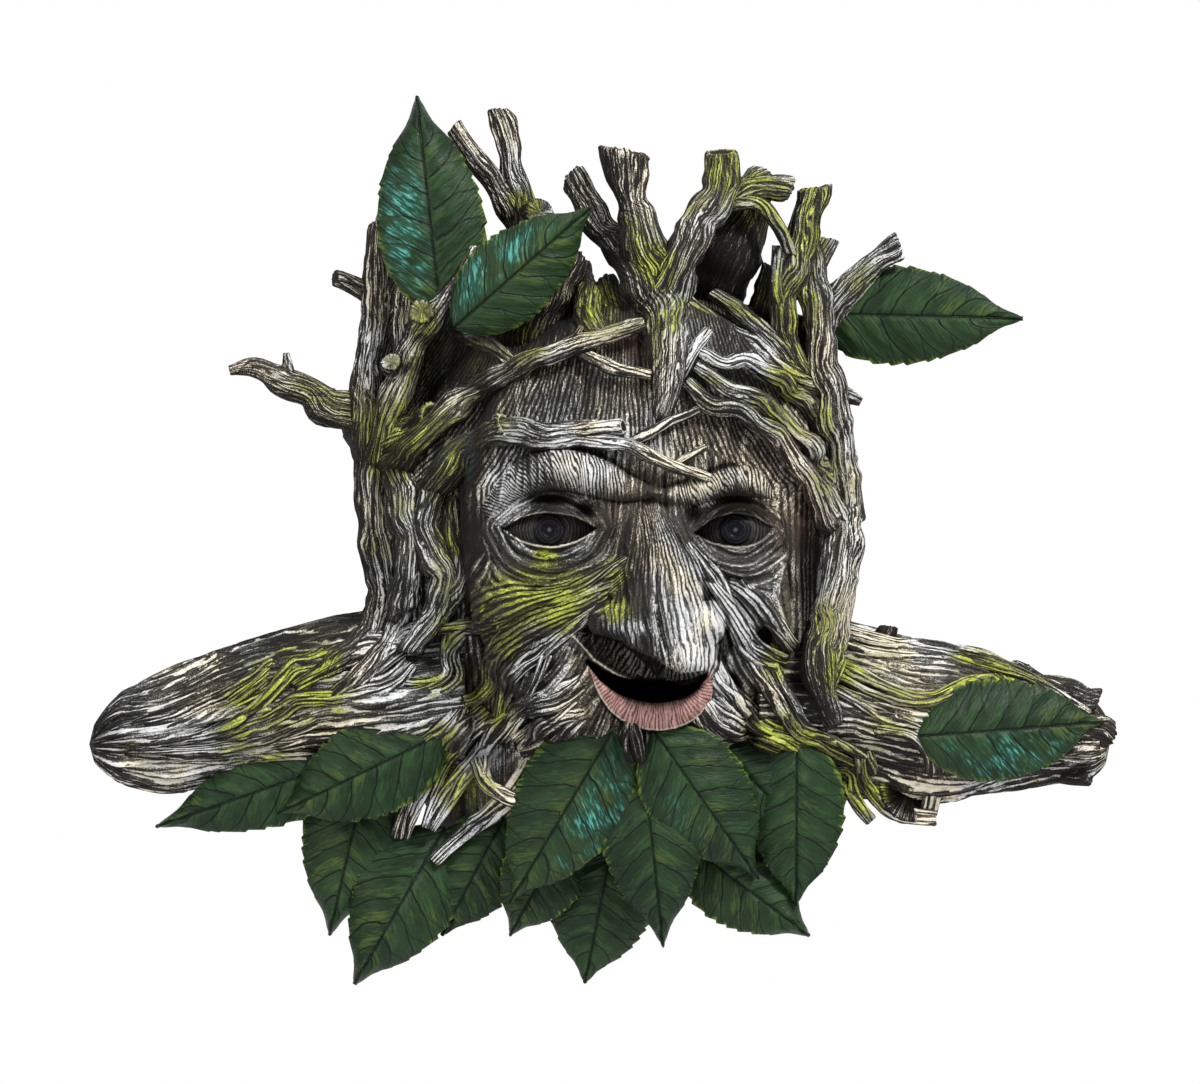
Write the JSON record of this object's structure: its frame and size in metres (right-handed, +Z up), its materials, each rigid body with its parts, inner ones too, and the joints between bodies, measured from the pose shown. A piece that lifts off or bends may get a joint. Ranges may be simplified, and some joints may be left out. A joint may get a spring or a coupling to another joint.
{
  "type": "green man wall mask",
  "caption": "Cast green man wall mask: a bark face with a crown of lopped branches, log shoulders and a beard of roots and leaves, flat behind with a keyhole.",
  "frame": {"origin": "On the flat back, behind the bridge of the nose, where the mask lies against the wall.", "axes": "+Z is up, +Y points out of the back into the wall, and +X is to the viewer's right. The face looks towards -Y."},
  "size_m": [0.299, 0.0895, 0.2607],
  "materials": {
    "painted_resin": "matte"
  },
  "bodies": {
    "root": {"green_man_mask": "painted_resin"}
  },
  "joints": []
}
